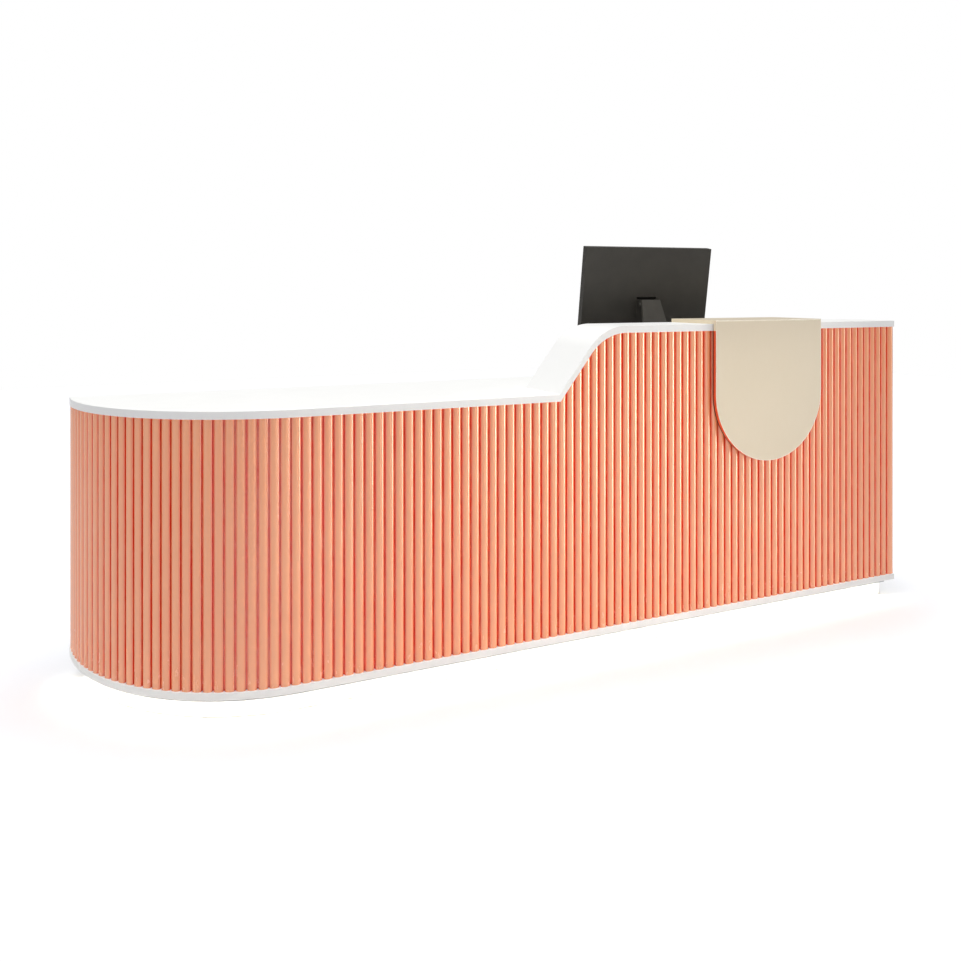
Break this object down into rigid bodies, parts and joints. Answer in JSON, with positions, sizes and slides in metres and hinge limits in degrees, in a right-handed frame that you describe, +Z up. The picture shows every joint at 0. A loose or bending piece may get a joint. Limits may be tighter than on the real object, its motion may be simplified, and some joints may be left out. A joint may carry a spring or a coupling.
{
  "type": "checkout counter",
  "caption": "Shop checkout counter with a fluted front, rounded end, low top, ramp to a raised ledge with a folded arch panel, staff-side storage, knee space and tilting display.",
  "frame": {"origin": "middle of the footprint bounding box, on the floor under the levelling feet", "axes": "+X along the counter towards the raised end, +Y towards the staff side, +Z up"},
  "size_m": [2.72, 0.57, 1.2678],
  "materials": {
    "slat_lacquer": "satin salmon lacquer on MDF battens and backing",
    "solid_surface": "satin white acrylic solid surface with eased edges",
    "white_laminate": "fine-textured white melamine board with matching edge tape",
    "beige_lacquer": "satin warm beige lacquer",
    "rubber_pad": "moulded black pad",
    "leg_plastic": "moulded black adjustable leg",
    "grommet_plastic": "fine-textured moulded black",
    "channel_aluminium": "anodised extrusion",
    "light_lens": "opal diffuser, lit",
    "brushed_steel": "fine brushed",
    "zinc_steel": "bright zinc-plated pressed steel",
    "drawer_steel": "light grey powder coat",
    "display_plastic": "fine-textured warm black moulding",
    "stand_metal": "warm black powder coat",
    "screen_glass": "dark anti-glare panel, switched off"
  },
  "bodies": {
    "counter": {"arch_front_panel": "beige_lacquer", "arch_spacers": "rubber_pad", "arch_top_board": "beige_lacquer", "base_board": "solid_surface", "bay_shelf": "white_laminate", "cable_grommet": "grommet_plastic", "corner_shelf": "white_laminate", "corner_substrate": "slat_lacquer", "cupboard_shelf": "white_laminate", "display_base": "stand_metal", "display_neck": "stand_metal", "display_tilt_pin": "brushed_steel", "end_panel_right": "white_laminate", "fixing_brackets": "zinc_steel", "front_substrate": "slat_lacquer", "hinge_frames": "brushed_steel", "led_channel": "channel_aluminium", "led_diffuser": "light_lens", "ledge_dividers": "white_laminate", "ledge_top": "solid_surface", "levelling_feet": "leg_plastic", "partition_1": "white_laminate", "partition_2": "white_laminate", "partition_3": "white_laminate", "partition_4": "white_laminate", "plinth_corner": "white_laminate", "plinth_front": "white_laminate", "plinth_rails": "white_laminate", "ramp_cap": "solid_surface", "ramp_cheek": "white_laminate", "runner_channels": "zinc_steel", "shelf_pins": "brushed_steel", "slats_corner": "slat_lacquer", "slats_high": "slat_lacquer", "slats_low": "slat_lacquer", "slats_ramp": "slat_lacquer", "worktop_low": "solid_surface", "worktop_staff": "solid_surface"},
    "drawer_1": {"drawer_front_1": "white_laminate", "drawer_box_1": "drawer_steel", "drawer_handle_1": "brushed_steel", "cash_tray": "grommet_plastic"},
    "drawer_2": {"drawer_front_2": "white_laminate", "drawer_box_2": "drawer_steel", "drawer_handle_2": "brushed_steel"},
    "drawer_3": {"drawer_front_3": "white_laminate", "drawer_box_3": "drawer_steel", "drawer_handle_3": "brushed_steel"},
    "lock": {"drawer_lock": "brushed_steel"},
    "door_l": {"door_left": "white_laminate", "door_handle_left": "brushed_steel", "door_hinges_left": "brushed_steel"},
    "door_r": {"door_right": "white_laminate", "door_handle_right": "brushed_steel", "door_hinges_right": "brushed_steel"},
    "keyboard_slide": {"keyboard_tray": "white_laminate"},
    "display_head": {"display_rear_shell": "display_plastic", "display_bezel": "display_plastic", "display_screen": "screen_glass", "display_tilt_bracket": "display_plastic"}
  },
  "joints": [
    {"name": "drawer_1_slide", "type": "slide", "parent": "counter", "child": "drawer_1", "axis": [0, 1, 0], "range_m": [0, 0.35]},
    {"name": "drawer_2_slide", "type": "slide", "parent": "counter", "child": "drawer_2", "axis": [0, 1, 0], "range_m": [0, 0.35]},
    {"name": "drawer_3_slide", "type": "slide", "parent": "counter", "child": "drawer_3", "axis": [0, 1, 0], "range_m": [0, 0.35]},
    {"name": "lock_turn", "type": "hinge", "parent": "drawer_1", "child": "lock", "pos_m": [1.115, 0.24, 0.754], "axis": [0, -1, 0], "range_deg": [0, 90]},
    {"name": "door_left_hinge", "type": "hinge", "parent": "counter", "child": "door_l", "pos_m": [-0.871, 0.25425, 0.4], "axis": [0, 0, 1], "range_deg": [0, 110]},
    {"name": "door_right_hinge", "type": "hinge", "parent": "counter", "child": "door_r", "pos_m": [-0.247, 0.25425, 0.4], "axis": [0, 0, -1], "range_deg": [0, 110]},
    {"name": "keyboard_tray_slide", "type": "slide", "parent": "counter", "child": "keyboard_slide", "axis": [0, 1, 0], "range_m": [0, 0.2]},
    {"name": "display_tilt", "type": "hinge", "parent": "counter", "child": "display_head", "pos_m": [0.553, 0.116, 1.062], "axis": [0.993, -0.1184, 0], "range_deg": [-15, 10]}
  ]
}
